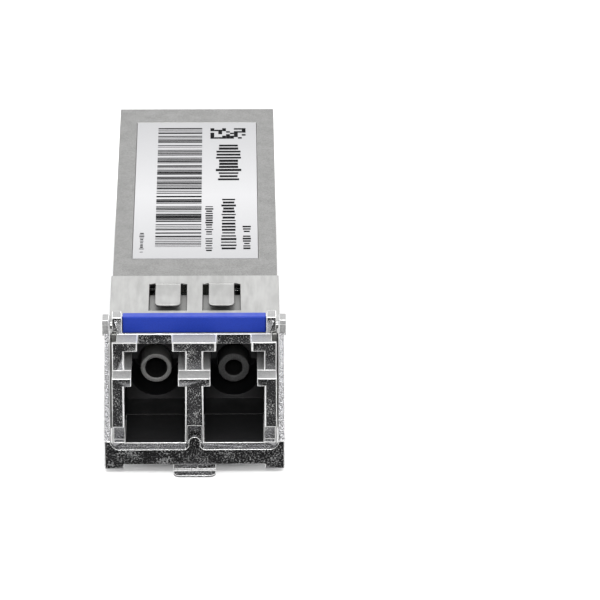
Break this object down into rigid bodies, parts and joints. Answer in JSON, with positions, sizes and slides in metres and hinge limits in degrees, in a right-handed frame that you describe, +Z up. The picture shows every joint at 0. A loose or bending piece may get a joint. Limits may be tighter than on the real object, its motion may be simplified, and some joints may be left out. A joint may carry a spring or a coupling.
{
  "type": "optical transceiver module",
  "caption": "Small pluggable optical transceiver with a duplex fibre port, shielding collar, coloured marker bar and a bail that works a release slide.",
  "frame": {"origin": "centre of the bounding box in X and Y, at the lowest point of the bail's pull tab", "axes": "+Y from the fibre port to the card-edge end, +Z up through the label, +X to the right when looking into the port from the front"},
  "size_m": [0.0146, 0.0536, 0.0117],
  "materials": {
    "casting": "satin nickel plate on fine die-cast grain",
    "collar": "smooth nickel-plated spring sheet",
    "cover": "matte fine-grained nickel sheet",
    "label": "silvery printed film",
    "marker": "satin moulded blue",
    "insert": "satin moulded black",
    "bail": "dark polished casting",
    "pins": "ground steel",
    "slide": "spring sheet",
    "transmit_optics": "turned steel",
    "receive_optics": "dark moulded resin",
    "cans": "gold-plated can",
    "flex": "polyimide film",
    "zirconia": "ground zirconia",
    "lens": "clear glass",
    "clamp": "moulded resin",
    "screw": "machined steel",
    "board": "solder-masked laminate",
    "chips": "moulded epoxy",
    "capacitors": "fired ceramic with tinned ends"
  },
  "bodies": {
    "housing": {"base_casting": "casting", "emi_collar": "collar", "top_cover": "cover", "product_label": "label", "color_marker": "marker", "lc_insert": "insert", "bail_pin_left": "pins", "bail_pin_right": "pins", "transmit_receptacle": "transmit_optics", "receive_receptacle": "receive_optics", "transmit_can": "cans", "receive_can": "cans", "transmit_flex": "flex", "receive_flex": "flex", "transmit_fibre_stub": "zirconia", "receive_lens": "lens", "optics_clamp": "clamp", "clamp_screw": "screw", "circuit_board": "board", "laser_driver": "chips", "receive_amplifier": "chips", "controller_chip": "chips", "memory_chip": "chips", "capacitor_1": "capacitors", "capacitor_2": "capacitors", "capacitor_3": "capacitors", "capacitor_4": "capacitors", "capacitor_5": "capacitors", "capacitor_6": "capacitors"},
    "bail": {"bail": "bail"},
    "release_slide": {"release_slide": "slide"}
  },
  "joints": [
    {"name": "bail_hinge", "type": "hinge", "parent": "housing", "child": "bail", "pos_m": [0, -0.02155, 0.0109], "axis": [-1, 0, 0], "range_deg": [0, 70]},
    {"name": "release_travel", "type": "slide", "parent": "housing", "child": "release_slide", "axis": [0, -1, 0], "range_m": [0, 0.00104]}
  ],
  "couplings": [
    {"joint": "bail_hinge", "follows": "release_travel", "rad_per_m": 1176.5}
  ]
}
